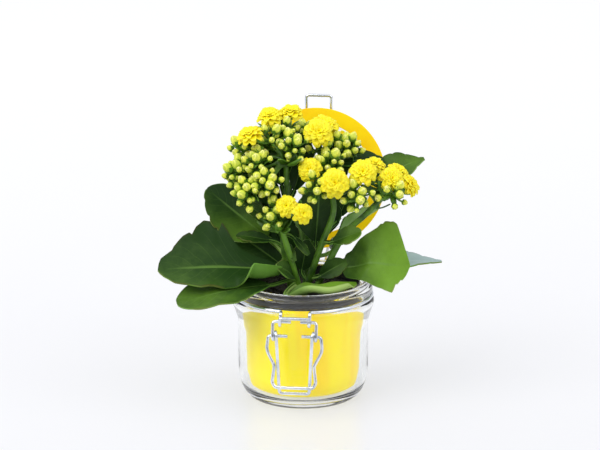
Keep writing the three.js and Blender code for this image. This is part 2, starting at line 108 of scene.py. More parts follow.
class Finish:  # one material and its nodes
    def __init__(self, name, **surface):
        self.material = bpy.data.materials.new(name)
        self.material.use_nodes = True
        self.nodes = self.material.node_tree.nodes
        self.links = self.material.node_tree.links
        self.surface = self.nodes["Principled BSDF"]
        self.place = self.node("ShaderNodeTexCoord", {}, {}, "Object")
        self.set({key.replace("_", " "): value for key, value in surface.items()})

    def feed(self, socket, value):
        if isinstance(value, Link):
            self.links.new(value.socket, socket)
        else:
            socket.default_value = value

    def node(self, kind, settings, sockets, output=0):
        made = self.nodes.new(kind)
        for key, value in settings.items():
            setattr(made, key, value)
        for key, value in sockets.items():
            self.feed(made.inputs[key], value)
        return Link(self, made.outputs[output])

    def set(self, sockets):
        for key, value in sockets.items():
            self.feed(self.surface.inputs[key], value)

    def noise(self, scale, detail=3.0, rough=0.55, place=None):
        sockets = {"Vector": place or self.place, "Scale": scale, "Detail": detail, "Roughness": rough}
        return self.node("ShaderNodeTexNoise", {}, sockets)

    def stretched(self, scales):  # object coordinates scaled by axis, for streaks
        return self.node("ShaderNodeMapping", {}, {"Vector": self.place, "Scale": scales})

    def mix(self, factor, first, second):
        return self.node("ShaderNodeMix", {"data_type": "RGBA"}, {0: factor, 6: first, 7: second}, 2)

    def done(self, colour, rough, height, distance, strength=1.0):  # the last three are its bump
        bump = self.node("ShaderNodeBump", {}, {"Height": height, "Distance": distance, "Strength": strength})
        self.set({"Base Color": colour, "Roughness": rough, "Normal": bump})
        return self.material

    def run(self, name):  # the three parts of a piece's own place attribute
        settings = {"attribute_name": name, "attribute_type": "GEOMETRY"}
        vector = self.node("ShaderNodeAttribute", settings, {}, "Vector")
        return [self.node("ShaderNodeSeparateXYZ", {}, {0: vector}, axis) for axis in "XYZ"]


class Sky(Finish):  # the light from all round, by direction
    def __init__(self, name):
        world = bpy.data.worlds.new(name)
        world.use_nodes = True
        bpy.context.scene.world = world
        self.nodes, self.links = world.node_tree.nodes, world.node_tree.links
        self.surface = self.nodes["Background"]
        self.place = self.node("ShaderNodeTexCoord", {}, {}, "Generated")


def glassFinish(name, tint, ripple):
    f = Finish(name, Transmission_Weight=1.0, IOR=1.45)
    clear = f.node("ShaderNodeBsdfTransparent", {}, {"Color": (0.97, 0.98, 0.98, 1)})
    lamp = f.node("ShaderNodeLightPath", {}, {}, "Is Shadow Ray")
    both = f.node("ShaderNodeMixShader", {}, {0: lamp, 1: Link(f, f.surface.outputs[0]), 2: clear})
    f.feed(f.nodes["Material Output"].inputs["Surface"], both)
    return f.done(tint, f.noise(40).step(0.4, 0.75, 0.0, 0.03), f.noise(35, 2.0), ripple)


def linerFinish():
    # The liner glows a little: painted light that brightens its yellow, though it is no lamp.
    f = Finish("linerYellowPaintedGlow", Specular_IOR_Level=0.12, Emission_Color=rgb(255, 224, 0), Emission_Strength=0.22)
    streaks = f.noise(1.0, 4.0, place=f.stretched((70, 70, 7)))
    fine = f.noise(1.0, 3.0, place=f.stretched((260, 260, 14)))
    warm = streaks.step(0.45, 0.72) * 0.75 + fine.step(0.5, 0.8) * 0.25
    colour = f.mix(warm, rgb(255, 240, 0), rgb(255, 212, 0))
    return f.done(colour, fine.step(0.3, 0.8, 0.38, 0.55), streaks, 0.0006, 0.7)


def potFinish():
    f = Finish("potDark")
    grain = f.noise(500, 4.0)
    dusty = f.noise(60, 5.0).step(0.5, 0.75)
    colour = f.mix(dusty, rgb(30, 30, 36), rgb(54, 52, 58))
    return f.done(colour, grain.step(0.3, 0.7, 0.35, 0.6), grain, 0.0002, 0.4)


def soilFinish():
    f = Finish("soilDark")
    lumps = f.noise(380, 6.0, 0.7)
    fibre = f.noise(1400, 3.0)
    colour = f.mix(lumps.step(0.42, 0.7), rgb(14, 9, 7), rgb(48, 33, 24))
    return f.done(colour, fibre.step(0.3, 0.7, 0.75, 1.0), lumps + fibre * 0.4, 0.0012)


def wireFinish():
    f = Finish("wireZinc", Metallic=1.0)
    drawn = f.noise(900, 3.0)
    dull = f.noise(90, 4.0)
    colour = f.mix(dull.step(0.35, 0.7), rgb(240, 243, 248), rgb(198, 206, 218))
    return f.done(colour, drawn.step(0.3, 0.75, 0.14, 0.3), drawn, 0.00005, 0.3)


def rubberFinish():
    f = Finish("rubberYellow", Specular_IOR_Level=0.2)
    patch = f.noise(45, 4.0)
    grain = f.noise(1100, 3.0)
    colour = f.mix(patch.step(0.4, 0.7), rgb(255, 218, 0), rgb(252, 200, 0))
    return f.done(colour, grain.step(0.3, 0.7, 0.42, 0.58), grain, 0.0001, 0.4)


# dark and bright span a leaf's colour from painted shade to painted light; its own patchy tone mixes in between
# them.
leafColours = dict(
    leafTop=dict(dark=rgb(30, 60, 16), bright=rgb(112, 156, 42), vein=rgb(104, 142, 62), gloss=0.45),
    leafPale=dict(dark=rgb(150, 176, 176), bright=rgb(206, 222, 226), vein=rgb(190, 206, 206), gloss=0.4),
    leafUnder=dict(dark=rgb(96, 142, 52), bright=rgb(172, 204, 112), vein=rgb(182, 210, 130), gloss=0.55),
)


def leafFinish(name, dark, bright, vein, gloss):
    f = Finish(name, Coat_Roughness=0.35, Specular_IOR_Level=0.16)
    share, across, tone = f.run("leafRun")
    side = abs(across)
    slant = share * 11 - side * 2.6  # side veins run forwards from the midrib
    ribs = slant.maths("PINGPONG", slant, 0.5)
    ribLine = ribs.step(0.07, 0.0) * side.step(0.95, 0.4) * share.step(0.12, 0.3) * 0.18
    midrib = side.step(0.06, 0.015) * share.step(1.0, 0.6)
    veins = ribLine.maths("MAXIMUM", ribLine, midrib)
    patch = f.noise(70, 5.0)
    fine = f.noise(700, 3.0)
    # light is partly painted light and shade from the leaf's brightness run, and partly its own patchy tone from the
    # noise.
    light = tone + (patch - 0.5) * 0.5 + (fine - 0.5) * 0.12
    colour = f.mix(light.step(0.0, 1.0), dark, bright)
    colour = f.mix(veins * 0.6, colour, vein)
    rim = side.step(0.93, 1.0) * patch.step(0.38, 0.6) * share.step(0.3, 0.6)
    colour = f.mix(rim * 0.4, colour, rgb(104, 58, 40))
    f.set({"Coat Weight": patch.step(0.35, 0.7, 0.0, 0.12)})
    rough = fine.step(0.3, 0.7, gloss - 0.05, gloss + 0.1)
    return f.done(colour, rough, patch * 0.5 + fine * 0.08 - ribLine * 1.2, 0.0006, 0.6)


def stemFinish():
    f = Finish("stemGreen")
    streak = f.noise(1.0, 4.0, place=f.stretched((300, 300, 60)))
    patch = f.noise(80, 4.0)
    colour = f.mix(patch.step(0.3, 0.7), rgb(44, 82, 14), rgb(100, 148, 36))
    colour = f.mix(streak.step(0.55, 0.8) * 0.4, colour, rgb(140, 174, 66))
    return f.done(colour, patch.step(0.3, 0.7, 0.38, 0.52), streak, 0.0003, 0.5)


def budFinish():
    f = Finish("budPale", Subsurface_Weight=0.2, Subsurface_Radius=(0.002, 0.002, 0.0006))
    height, own, fold = f.run("headRun")
    fine = f.noise(900, 2.0)
    ripe = height * 0.6 + own * 0.5 + (fine - 0.5) * 0.3
    colour = f.mix(ripe.step(0.2, 0.95), rgb(140, 184, 30), rgb(250, 250, 92))
    colour = f.mix(height.step(0.72, 1.0) * own * 0.8, colour, rgb(254, 246, 176))
    colour = f.mix(fold * 0.75, colour, rgb(150, 178, 36))
    return f.done(colour, fine.step(0.3, 0.7, 0.42, 0.6), fine, 0.0002, 0.4)


def petalFinish():
    f = Finish("petalYellow", Subsurface_Weight=0.25, Subsurface_Radius=(0.002, 0.0014, 0.0002))
    height, own, across = f.run("headRun")
    streak = across.maths("SINE", across * 22)
    fine = f.noise(600, 3.0)
    # Deeper orange towards the petal bases: partly the flower's own colour, partly painted shade in the crowded
    # middle and between the petals.
    warm = height.step(0.75, 0.1) * 0.75 + (fine - 0.5) * 0.3 + (own - 0.5) * 0.3
    colour = f.mix(warm.step(0.0, 1.0), rgb(255, 238, 4), rgb(255, 180, 0))
    colour = f.mix(height.step(0.8, 1.0) * 0.5, colour, rgb(255, 246, 60))
    return f.done(colour, fine.step(0.3, 0.7, 0.45, 0.62), streak * 0.3 + fine * 0.3, 0.0002, 0.5)


finishes = dict(
    glass=glassFinish("glassClear", (0.985, 0.995, 0.99, 1), 0.00025),
    lidGlass=glassFinish("glassLid", (0.99, 0.995, 1.0, 1), 0.0001),
    liner=linerFinish(), pot=potFinish(), soil=soilFinish(), wire=wireFinish(), rubber=rubberFinish(),
    stem=stemFinish(), bud=budFinish(), petal=petalFinish(),
)
for name, colours in leafColours.items():
    finishes[name] = leafFinish(name, **colours)
print("finishes made")

# Ways of making pieces


def only(*pieces):
    bpy.ops.object.select_all(action="DESELECT")
    for piece in pieces:
        piece.select_set(True)
    bpy.context.view_layer.objects.active = pieces[0]


def newPiece(name, data):
    piece = bpy.data.objects.new(name, data)
    bpy.context.scene.collection.objects.link(piece)
    only(piece)
    return piece


def finishPiece(piece, finish, body="jar", node=None):
    if not piece.data.materials:
        piece.data.materials.append(finishes[finish])
    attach(piece, body)
    if node:
        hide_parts(node)


def useModifier(piece, kind, **settings):
    only(piece)
    made = piece.modifiers.new(kind.title(), kind)
    for key, value in settings.items():
        setattr(made, key, value)
    bpy.ops.object.modifier_apply(modifier=made.name)


def closeShell(sharp):  # merges seams and poles of the active piece and turns its faces outwards
    bpy.ops.object.mode_set(mode="EDIT")
    bpy.ops.mesh.select_all(action="SELECT")
    bpy.ops.mesh.remove_doubles(threshold=0.01 * mm)
    bpy.ops.mesh.normals_make_consistent(inside=False)
    bpy.ops.object.mode_set(mode="OBJECT")
    bpy.ops.object.shade_smooth_by_angle(angle=radians(sharp))
    return bpy.context.object


def arc(centre, radii, start, end, steps):
    angles = [radians(start + (end - start) * i / steps) for i in range(steps + 1)]
    return [(centre[0] + radii[0] * cos(a), centre[1] + radii[1] * sin(a)) for a in angles]


def rounded(corners, radius, steps=4):  # an outline with its sharp corners rounded
    points = [Vector((*c, 0)) if len(c) == 2 else Vector(c) for c in corners]
    made = [points[0]]
    for before, corner, after in zip(points, points[1:], points[2:]):
        back, ahead = before - corner, after - corner
        if back.length < 1e-6 or ahead.length < 1e-6 or back.angle(ahead) > radians(155):
            made.append(corner)
            continue
        start = corner + back.normalized() * min(radius, back.length * 0.45)
        end = corner + ahead.normalized() * min(radius, ahead.length * 0.45)
        for i in range(steps + 1):
            t = i / steps
            made.append(start * (1 - t) ** 2 + corner * 2 * t * (1 - t) + end * t * t)
    return made + [points[-1]]


def turnedPiece(name, profile, corner, steps=96, sharp=50):  # profile in millimetres
    outline = [(p.x * mm, 0, p.y * mm) for p in rounded(profile, corner)]
    mesh = bpy.data.meshes.new(name)
    mesh.from_pydata(outline, [(i, i + 1) for i in range(len(outline) - 1)], [])
    newPiece(name, mesh)
    bpy.ops.object.mode_set(mode="EDIT")
    bpy.ops.mesh.select_all(action="SELECT")
    bpy.ops.mesh.spin(steps=steps, angle=2 * pi, center=(0, 0, 0), axis=(0, 0, 1))
    bpy.ops.object.mode_set(mode="OBJECT")
    return closeShell(sharp)


def tubes(name, runs, sides=3):  # one piece of round tubes; a run is its points and their radii
    curve = bpy.data.curves.new(name, "CURVE")
    curve.dimensions = "3D"
    curve.bevel_depth = 1.0
    curve.bevel_resolution = sides
    curve.use_fill_caps = True
    for points, radii in runs:
        spline = curve.splines.new("POLY")
        spline.points.add(len(points) - 1)
        for i, (place, point) in enumerate(zip(points, spline.points)):
            point.co = (*place, 1)
            point.radius = radii[i] if isinstance(radii, list) else radii
    newPiece(name, curve)
    bpy.ops.object.convert(target="MESH")
    return closeShell(60)


def placeCopy(template, matrix, own=0.5):  # own is this copy's share of its finish's variation
    copy = template.copy()
    copy.data = template.data.copy()
    copy.data.transform(matrix)
    for value in copy.data.attributes["headRun"].data:
        value.vector.y = own
    bpy.context.scene.collection.objects.link(copy)
    return copy


def gather(name, pieces):
    only(*pieces)
    bpy.ops.object.join()
    made = bpy.context.object
    made.name = name
    return made


def writeRun(piece, name, values):  # the attribute that a finish's pattern follows
    run = piece.data.attributes.new(name, "FLOAT_VECTOR", "POINT")
    run.data.foreach_set("vector", [c for value in values for c in value])


def shapePoints(piece, name, shape):  # shape gives each point's new place and its value of the attribute
    values = []
    for vertex in piece.data.vertices:
        vertex.co, value = shape(vertex.co.copy())
        values.append(value)
    writeRun(piece, name, values)


def evenRun(piece, name="headRun", value=(0, 0.5, 0)):
    writeRun(piece, name, [value] * len(piece.data.vertices))


def smoothRun(points, steps):  # a smooth line through points
    ends = [points[0] * 2 - points[1], *points, points[-1] * 2 - points[-2]]
    made = []
    for a, b, c, d in zip(ends, ends[1:], ends[2:], ends[3:]):
        for i in range(steps):
            t = i / steps
            made.append(0.5 * ((b * 2) + (c - a) * t + (a * 2 - b * 5 + c * 4 - d) * t ** 2
                               + (b * 3 - a - c * 3 + d) * t ** 3))
    return made + [points[-1]]


# Jar, liner, pot and soil, in millimetres from the axis and the table

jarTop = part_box("glass_jar")[1]
jar = dict(
    height=jarTop.z / mm, bead=jarTop.x / mm, wall=3.7, floor=5, foot=35, heel=22, rim=3.2,
    beadOut=4.2, groove=3.3, wireDrop=11.3, wire=2.4, gap=0.4,
)
body = jar["bead"] - jar["beadOut"]
inner = body - jar["wall"]
wireHeight = jar["height"] - jar["wireDrop"]
grooveRadius = jar["bead"] - jar["groove"]
wireRadius = jar["wire"] / 2


def jarProfile(height, bead, floor, foot, heel, rim, gap, **rest):
    collar = height - rim
    half = wireRadius + gap
    push = 1.8  # the foot's hollow middle
    return [
        (0, push), (foot - 9, push), (foot - 5, 0.2), (foot - 3.5, 0),
        *arc((foot, heel), (body - foot, heel), -90, 0, 18),
        (body, wireHeight - 22), (body + 0.5, wireHeight - 17), (bead - 1.4, wireHeight - 9.5),
        (bead - 0.3, wireHeight - 7), (bead, wireHeight - 5), (bead - 0.5, wireHeight - 2.6),
        (grooveRadius + 0.2, wireHeight - half), (grooveRadius, wireHeight), (grooveRadius + 0.1, wireHeight + half),
        (bead - 1.3, wireHeight + half + 0.8), (bead - 1.2, collar - 1.6), (body + 0.2, collar),
        (body, height - 1.1), (body - 0.7, height - 0.1), (body - 1.8, height),
        (inner + 1.6, height - 0.1), (inner + 0.3, height - 1),
        *arc((inner - 10, floor + 10), (10, 10), 0, -90, 12),
        (0, floor),
    ]


def bowlProfile(top, bottom, corner, floor, edge, wall):
    outer = arc((bottom - corner, floor + corner), (corner, corner), -90, 0, 8)
    innerCorner = arc((bottom - corner, floor + corner), (corner - wall, corner - wall), 0, -90, 8)
    lip = [(top, edge - 0.3), (top - wall * 0.5, edge), (top - wall, edge - 0.3)]
    return [(0, floor), *outer, *lip, *innerCorner, (0, floor + wall)]


finishPiece(turnedPiece("jarGlass", jarProfile(**jar), 1.2), "glass", node="glass_jar")

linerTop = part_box("yellow_liner")[1]
linerWide = linerTop.x / mm
liner = turnedPiece("linerCup", bowlProfile(linerWide, linerWide - 1.4, 16, 5.4, linerTop.z / mm, 0.8), 0.3)
finishPiece(liner, "liner", node="yellow_liner")

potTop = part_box("nursery_pot")[1]
potWide = potTop.x / mm
pot = turnedPiece("potCup", bowlProfile(potWide, potWide - 5, 8, 6.6, potTop.z / mm, 0.9), 0.3)
finishPiece(pot, "pot", node="nursery_pot")

soil = dict(top=80, dome=2, floor=8, edge=potWide - 1.9, lump=1.3, crumbs=170, seed=4)


def addSoil(top, dome, floor, edge, lump, crumbs, seed):
    rings = 26
    surface = [(edge * i / rings, top - dome * (i / rings) ** 2) for i in range(rings, -1, -1)]
    bed = turnedPiece("soilBed", [(0, floor), (edge - 10, floor), (edge - 6, floor + 6), *surface], 0.1, 72)
    for vertex in bed.data.vertices:
        if vertex.co.z > (top - dome - 1) * mm and vertex.co.xy.length < (edge - 0.5) * mm:
            vertex.co.z += lump * mm * noise.fractal(vertex.co * 160, 1.0, 2.0, 4)
    draw = random.Random(seed)
    bpy.ops.mesh.primitive_ico_sphere_add(subdivisions=1, radius=1, location=(0, 0, 0))
    crumb = bpy.context.object
    evenRun(crumb)
    pieces = [bed]
    for _ in range(crumbs):
        distance, bearing = (edge - 2) * sqrt(draw.random()), draw.uniform(0, 2 * pi)
        size = draw.uniform(0.4, 1.5) * mm
        height = (top - dome * (distance / edge) ** 2 + 0.2) * mm
        place = Matrix.Translation((distance * mm * cos(bearing), distance * mm * sin(bearing), height))
        turn = Matrix.Rotation(draw.uniform(0, pi), 4, Vector((draw.random(), draw.random(), 0.4)).normalized())
        shape = Matrix.Diagonal((size, size * draw.uniform(0.5, 1), size * draw.uniform(0.4, 0.8), 1))
        pieces.append(placeCopy(crumb, place @ turn @ shape))
    bpy.data.objects.remove(crumb)
    return gather("soilBed", pieces)


finishPiece(addSoil(**soil), "soil", node="soil")
print("jar, liner, pot and soil made")

# Wires: neck ring, clasp lever and clasp bail

clasp = dict(
    pivot=5.1, bailDrop=10.4, bailOut=0.3, eyeSpan=10.3, barRise=3.2, leverWidth=15.4, leverStep=2.8,
    leverLength=52, leverTaper=2, bailLength=36.5, bailTop=18.6, bailWaist=14.25, bailFoot=15.45, bailLean=5.2,
)
hinge = dict(reach=11, rise=4.4, eyeSpan=12.4, legSpan=9.4, open=104)
eyeRadius = jar["wire"] + 0.45
neckRadius = grooveRadius + jar["gap"] + wireRadius
leverPivot = Vector((0, -(jar["bead"] + jar["gap"] + wireRadius + eyeRadius), wireHeight - clasp["pivot"]))
bailPivot = leverPivot + Vector((0, -clasp["bailOut"], -clasp["bailDrop"]))
hingeAxis = Vector((0, jar["bead"] + hinge["reach"], wireHeight + hinge["rise"]))


def wirePiece(name, corners, radius=2.2):
    route = [p * mm for p in rounded(corners, radius, 6)]
    return tubes(name, [(route, wireRadius * mm)], 4)


def levelRun(radius, height, start, end, steps):
    return [Vector((x, y, height)) for x, y in arc((0, 0), (radius, radius), start, end, steps)]


def eye(x, pin, inward, start, end):  # a hairpin round a pin that lies along X
    turn = arc((0, 0), (eyeRadius, eyeRadius), start, end, 12)
    return [Vector((x, pin.y + inward * a, pin.z + b)) for a, b in turn]


def neckWire():
    front, back = clasp["eyeSpan"], hinge["eyeSpan"]
    frontBearing, backBearing = degrees(asin(front / neckRadius)), degrees(asin(back / neckRadius))
    bar = Vector((0, leverPivot.y - eyeRadius, leverPivot.z + clasp["barRise"]))

    def frontEye(x):
        lead = Vector((x, leverPivot.y + eyeRadius, wireHeight))
        return [lead, *eye(x, leverPivot, -1, 180, 360), bar + Vector((x, 0, 0))]

    def backEye(x):
        top = hingeAxis.z + eyeRadius
        return [Vector((x, neckRadius + 1, wireHeight)), Vector((x, hingeAxis.y - 3, hingeAxis.z - eyeRadius)),
                *eye(x, hingeAxis, 1, -90, 90), Vector((x, hingeAxis.y - eyeRadius - 3, top))]

    return [
        bar + Vector((front + wireRadius, 0, 0)), *reversed(frontEye(-front)),
        *levelRun(neckRadius, wireHeight, 270 - frontBearing, 90 + backBearing, 48),
        *backEye(-back), *reversed(backEye(back)),
        *levelRun(neckRadius, wireHeight, 90 - backBearing, -90 + frontBearing, 48),
        *frontEye(front)[:-1],
    ]


def leverWire(leverWidth, leverStep, leverLength, leverTaper, **rest):
    def half(side, pinEnd):
        coil = []
        for i in range(19):
            angle = radians(180 + i * 20)
            x = side * (leverWidth - leverStep * (i + 0.5) / 19)
            coil.append(bailPivot + Vector((x, eyeRadius * cos(angle), eyeRadius * sin(angle))))
        foot = Vector((side * (leverWidth - leverStep - leverTaper), bailPivot.y - 2, leverPivot.z - leverLength))
        pin = leverPivot + Vector((pinEnd, 0, 0))
        return [pin, leverPivot + Vector((side * leverWidth, 0, 0)), *coil, foot]
    return [*half(-1, -2.5), *reversed(half(1, 4))]


def bailWire(bailLength, bailTop, bailWaist, bailFoot, bailLean, **rest):
    def half(side):
        stations = [(5, 0), (bailTop, 0), (bailTop + 0.9, 0.22), (bailTop, 0.33), (bailWaist + 0.6, 0.53),
                    (bailWaist, 0.62), (bailFoot, 0.9), (bailFoot - 2, 1)]
        points = [bailPivot + Vector((side * x, -bailLean * drop, -bailLength * drop)) for x, drop in stations]
        return points[:2] + smoothRun(points[2:7], 6) + points[7:]
    return [*half(-1), *reversed(half(1))]


finishPiece(wirePiece("neckRing", neckWire()), "wire", node="neck_wire")
finishPiece(wirePiece("claspLever", leverWire(**clasp)), "wire", "lever", "clasp_lever")
finishPiece(wirePiece("claspBail", bailWire(**clasp)), "wire", "bail", "clasp_bail")

# Lid, laid out level about its hinge and then swung open

lid = dict(
    over=1.4, edge=5.5, crown=10.5, plug=4.2, gasketWidth=10.6, gasket=2, gasketOver=5, loopReach=9, loopSpan=9.2,
)
seat = jar["height"] + lid["gasket"] + 2 * jar["gap"] - hingeAxis.z
gasketRadius = body + lid["gasketOver"]
lidOpen = Matrix.Translation(hingeAxis * mm) @ Matrix.Rotation(-radians(hinge["open"]), 4, "X")
onLid = lidOpen @ Matrix.Translation((0, -hingeAxis.y * mm, seat * mm))


def lidProfile(over, edge, crown, plug, gasketWidth, **rest):
    radius = body + over
    plugRadius = gasketRadius - gasketWidth - jar["gap"]
    return [
        (0, -plug + 2.4), (plugRadius - 6.5, -plug + 2.2), (plugRadius - 3.8, -plug), (plugRadius - 0.8, -plug),
        (plugRadius, -0.4), (plugRadius + 0.6, 0), (radius - 0.6, 0), (radius, 0.8), (radius, edge - 1.6),
        (radius - 2, edge - 0.6), (radius - 2, edge + 2.4), (radius - 5, crown - 1), (radius - 10, crown),
        (0, crown - 1.5),
    ]


def gasketProfile(gasketWidth, gasket, **rest):
    top = -jar["gap"]
    middle = gasketRadius - gasketWidth / 2
    return [(middle, top), (gasketRadius - gasketWidth, top), (gasketRadius - gasketWidth, top - gasket),
            (gasketRadius, top - gasket), (gasketRadius, top), (middle, top)]


def lidWire(edge, loopReach, loopSpan, **rest):
    radius = body + lid["over"] - 2 + jar["gap"] + wireRadius
    height, middle, leg = seat + edge + 0.9, -hingeAxis.y, hinge["legSpan"]

    def ring(start, end):
        return [p + Vector((0, middle, 0)) for p in levelRun(radius, height, start, end, 40)]

    def halfBack(side):
        end = middle + radius + 2.4
        return [Vector((side * (hinge["eyeSpan"] + 2.6), 0, 0)), Vector((side * leg, 0, 0)),
                Vector((side * leg, end + 1.5, height - 1)), Vector((side * leg, end, height))]

    atLeg, atLoop = degrees(asin((leg + 3) / radius)), degrees(asin(loopSpan / radius))
    catch = Vector((0, middle - gasketRadius - loopReach, height - 3))
    across = Vector((loopSpan, 0, 0))
    return [*halfBack(-1), *ring(90 + atLeg, 270 - atLoop), catch - across, catch + across,
            *ring(-90 + atLoop, 90 - atLeg), *reversed(halfBack(1))]


def lidPiece(piece, opened, finish, node):
    piece.data.transform(opened)
    finishPiece(piece, finish, "lid", node)


lidPiece(turnedPiece("lidGlass", lidProfile(**lid), 1.0), onLid, "lidGlass", "lid_glass")
lidPiece(turnedPiece("rubberRing", gasketProfile(**lid), 0.5), onLid, "rubber", "gasket")
lidPiece(wirePiece("lidWire", lidWire(**lid)), lidOpen, "wire", "lid_wire")
print("wires and lid made")

# Plant
# Laid out in millimetres: x right, y away, z up from the jar's rim, turned with the camera.

plantTurn = Matrix.Rotation(radians(camera["azimuth"]), 3, "Z")
rimPlace = Vector((0, 0, jar["height"]))


def place(point):
    return (plantTurn @ Vector(point) + rimPlace) * mm


def facingOf(direction):
    return (plantTurn @ Vector(direction)).normalized()


stems = {
    "left": [(-9, 0, -6), (-14, -3, 26), (-12, -4, 62), (-12, -4, 84)],
    "front": [(-3, -8, -6), (-9, -13, 18), (-15, -18, 40)],
    "centre": [(3, 1, -6), (12, -1, 22), (21, -5, 48), (21, -5, 62)],
    "right": [(10, 0, -6), (28, -3, 31), (44, -5, 48), (58, -3, 62)],
    "back": [(2, 9, -6), (4, 20, 40), (4, 24, 74)],
}
# Heads: the stem they fork from, the middle, the way they face, and a flower's radius or a spray's buds.
flowers = {
    "top_left": ("left", (-24, 10, 117), (-0.1, -0.45, 0.9), 9),
    "top_mid": ("left", (-9, 18, 118), (0, -0.2, 1), 9),
    "upper_left": ("left", (-38, -4, 107), (-0.25, -0.25, 0.93), 9.5),
    "upper_right": ("centre", (11, 2, 107), (0.15, -0.75, 0.65), 10.5),
    "upper_back": ("back", (16, 22, 108), (0.2, -0.3, 0.9), 10),
    "middle": ("centre", (4, -14, 84), (-0.3, -0.85, 0.4), 8.5),
    "front": ("centre", (22, -25, 77), (0.05, -0.9, 0.4), 10.5),
    "right_front": ("right", (42, -15, 82), (0, -0.8, 0.6), 10),
    "right_top": ("right", (51, 6, 83), (0.2, -0.25, 0.95), 8),
    "right_mid": ("right", (63, -10, 76), (0.3, -0.8, 0.55), 9),
    "right_back": ("right", (68, 9, 77), (0.4, -0.3, 0.85), 8),
    "right_edge": ("right", (77, -4, 70), (0.75, -0.45, 0.5), 8),
    "low_left": ("front", (-12, -28, 61), (-0.2, -0.85, 0.45), 8),
    "low_right": ("front", (0, -33, 57), (0.3, -0.85, 0.35), 7.5),
    "back_left": ("back", (-22, 38, 96), (-0.3, 0.7, 0.65), 10),
    "back_right": ("back", (26, 40, 92), (0.3, 0.7, 0.6), 10),
}
sprays = {
    "top_left": ("left", (-23, -3, 110), (0, -0.4, 0.9), 4),
    "top_mid": ("left", (-7, -8, 102), (0.1, -0.7, 0.7), 8),
    "upper_left": ("left", (-47, 9, 99), (-0.7, 0.1, 0.7), 7),
    "left_outer": ("left", (-53, -6, 83), (-0.85, -0.2, 0.5), 9),
    "left_inner": ("left", (-35, -13, 92), (-0.4, -0.6, 0.7), 9),
    "left_low": ("left", (-45, -21, 68), (-0.7, -0.7, 0.1), 8),
    "left_front": ("left", (-26, -23, 75), (-0.1, -0.95, 0.2), 8),
    "low_left": ("front", (-25, -25, 53), (-0.6, -0.7, 0.3), 6),
    "centre": ("centre", (20, -6, 92), (0.1, -0.45, 0.9), 9),
    "centre_low": ("centre", (7, -23, 71), (-0.3, -0.9, 0.1), 6),
    "right_low": ("right", (37, -26, 65), (-0.1, -0.95, 0.1), 6),
    "right_outer": ("right", (64, -20, 67), (0.1, -0.9, 0.3), 4),
    "back_mid": ("back", (34, 16, 99), (0.4, -0.2, 0.9), 9),
    "back_top": ("back", (2, 36, 104), (0, 0.5, 0.85), 8),
}
innerSprays = {  # young buds between the heads
    "top": ("left", (-15, 8, 113), (0, -0.2, 1), 6),
    "left": ("left", (-33, 2, 101), (-0.2, -0.4, 0.9), 6),
    "left_low": ("left", (-34, -6, 74), (-0.2, -0.9, 0.3), 5),
    "centre": ("centre", (14, 6, 98), (0, -0.6, 0.8), 5),
}
goldenAngle = 2.39996  # turn from one bud to the next, in radians
head = dict(budReach=11, flowerStalk=13, spread=72, extraBuds=1.45, innerBuds=0.6, bracts=4)


def headFoot(spec, reach):
    return place(spec[1]) - facingOf(spec[2]) * reach * mm


def pieceName(start, node):
    return start + "".join(word.title() for word in node.split("_"))


# Stems, each joined to the feet of its heads

bareTwig = [(50, -4, 52.5), (56, -4, 53), (62, -5, 56)]  # off the right stem
stem = dict(foot=2.6, top=2.1, branch=1.5, tip=0.8, voxel=0.55)


def bezierPoint(a, b, c, d, t):
    return a * (1 - t) ** 3 + b * 3 * t * (1 - t) ** 2 + c * 3 * t * t * (1 - t) + d * t ** 3


def bezier(a, b, c, d, steps):
    return [bezierPoint(a, b, c, d, i / steps) for i in range(steps + 1)]


stemLines = {name: smoothRun([place(p) for p in route], 8) for name, route in stems.items()}


def addStem(name, foot, top, branch, tip, voxel):
    line = stemLines[name]
    root = line[0] - Vector((0, 0, 4 * mm))
    radii = [(foot + (top - foot) * i / len(line)) * mm for i in range(len(line) + 1)]
    runs = [([root, *line], radii)]
    fork = line[-1]
    heads = [(h, head["flowerStalk"]) for h in flowers.values()]
    heads += [(h, head["budReach"]) for h in [*sprays.values(), *innerSprays.values()]]
    for spec, reach in heads:
        if spec[0] == name:
            end, facing = headFoot(spec, reach), facingOf(spec[2])
            pull = 0.4 * (end - fork).length
            points = bezier(fork, fork + Vector((0, 0, pull)), end - facing * pull, end, 12)
            runs.append((points, [(branch + (tip - branch) * i / 12) * mm for i in range(13)]))
    if name == "right":
        runs.append((smoothRun([place(p) for p in bareTwig], 5), 0.7 * mm))
    piece = tubes(pieceName("stem", name), runs)
    useModifier(piece, "REMESH", mode="VOXEL", voxel_size=voxel * mm)
    useModifier(piece, "SMOOTH", factor=0.5, iterations=4)
    only(piece)
    bpy.ops.object.shade_smooth()
    finishPiece(piece, "stem", node="stem_" + name)


for name in stems:
    addStem(name, **stem)
print("stems made")
